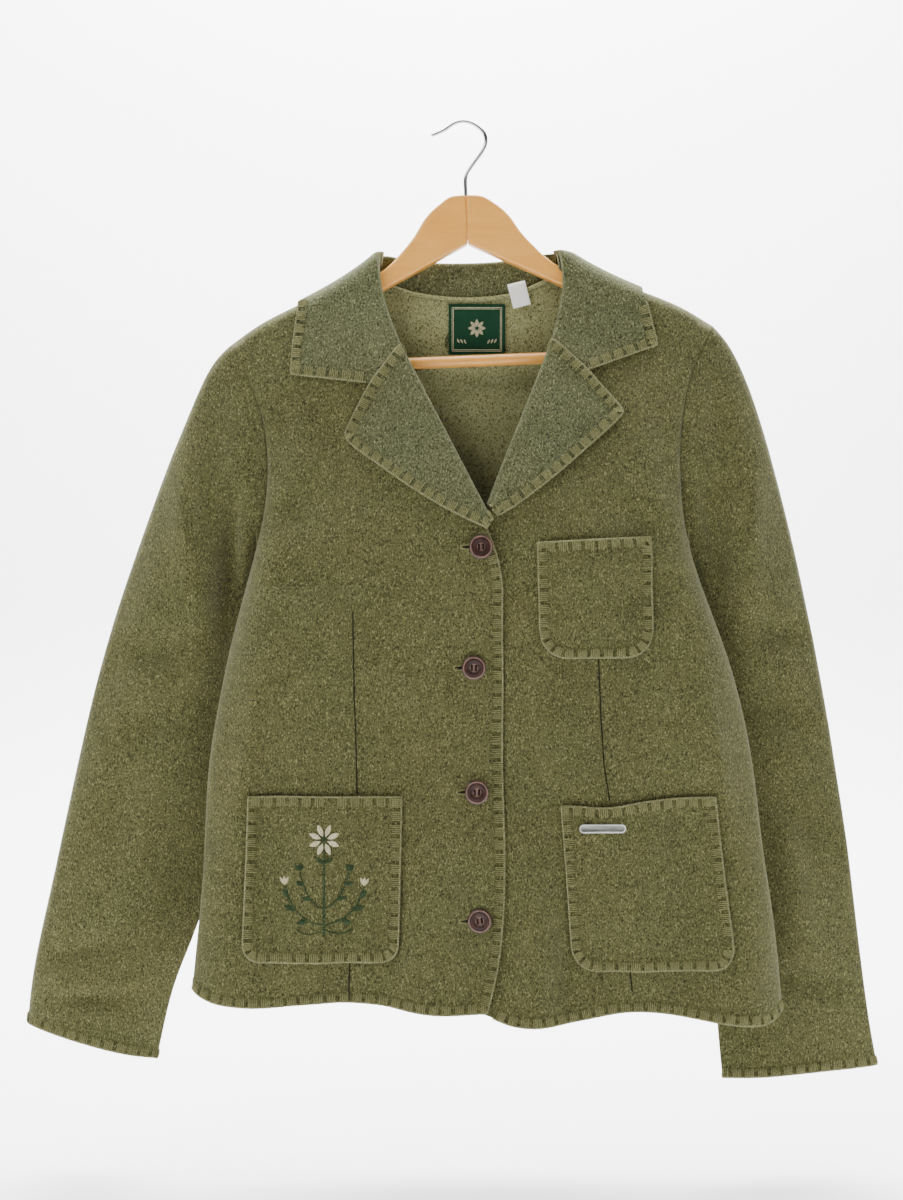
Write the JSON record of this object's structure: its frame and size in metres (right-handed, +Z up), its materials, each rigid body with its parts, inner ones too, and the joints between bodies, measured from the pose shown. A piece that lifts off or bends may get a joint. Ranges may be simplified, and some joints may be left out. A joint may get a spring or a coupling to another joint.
{
  "type": "trachten jacket on a clothes hanger",
  "caption": "Boiled-wool country jacket with notched lapels, patch pockets and horn-look buttons, hanging closed on a wooden hanger.",
  "frame": {"origin": "inside of the top of the hanger's hook, where the hook is held", "axes": "+Z up, the jacket's front faces -Y, the wearer's left is +X"},
  "size_m": [0.7525, 0.0956, 0.8456],
  "materials": {
    "boiled_wool": "felted matte",
    "button": "satin",
    "badge_metal": "satin",
    "neck_label": "woven",
    "care_label": "woven",
    "hanger_wood": "varnished",
    "hook_wire": "polished"
  },
  "bodies": {
    "root": {"back": "boiled_wool", "collar": "boiled_wool", "front_right": "boiled_wool", "front_left": "boiled_wool", "lapel_right": "boiled_wool", "lapel_left": "boiled_wool", "sleeve_right": "boiled_wool", "sleeve_left": "boiled_wool", "pocket_chest": "boiled_wool", "pocket_hip_right": "boiled_wool", "pocket_hip_left": "boiled_wool", "button_1": "button", "button_2": "button", "button_3": "button", "button_4": "button", "badge_bar": "badge_metal", "neck_label": "neck_label", "care_label": "care_label", "hanger_arm_right": "hanger_wood", "hanger_arm_left": "hanger_wood", "hanger_bar": "hanger_wood", "hanger_hook": "hook_wire"}
  },
  "joints": []
}
